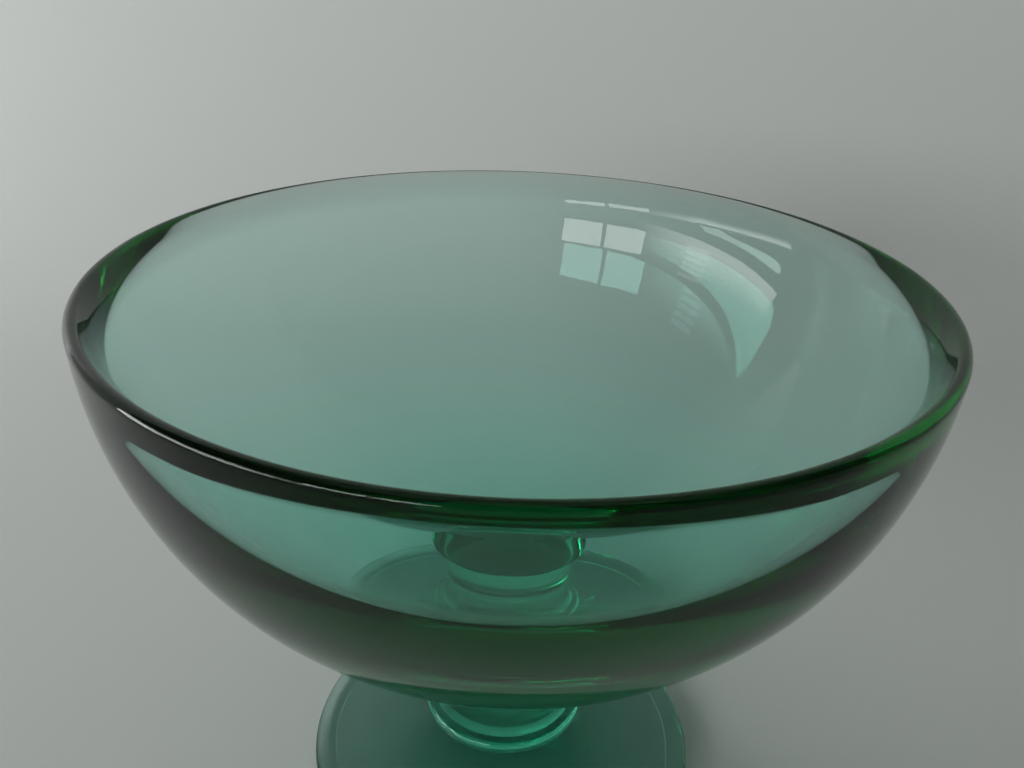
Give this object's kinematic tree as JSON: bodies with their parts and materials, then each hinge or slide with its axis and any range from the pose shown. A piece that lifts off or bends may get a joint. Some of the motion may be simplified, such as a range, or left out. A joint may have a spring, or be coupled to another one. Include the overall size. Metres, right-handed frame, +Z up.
{
  "type": "footed glass bowl",
  "caption": "Round footed bowl in thick clear green glass: half-sphere bowl with a rounded rim on a short waisted stem, a collar and a round foot.",
  "frame": {"origin": "centre of the foot, on the surface that the bowl stands on", "axes": "+Z up along the axis of revolution; +X and +Y are free, because every piece is round"},
  "size_m": [0.1199, 0.12, 0.0914],
  "materials": {
    "green_glass": "clear green all through, fire-polished, darker where it is thick"
  },
  "bodies": {
    "root": {"bowl": "green_glass", "stem": "green_glass", "collar": "green_glass", "foot": "green_glass"}
  },
  "joints": []
}
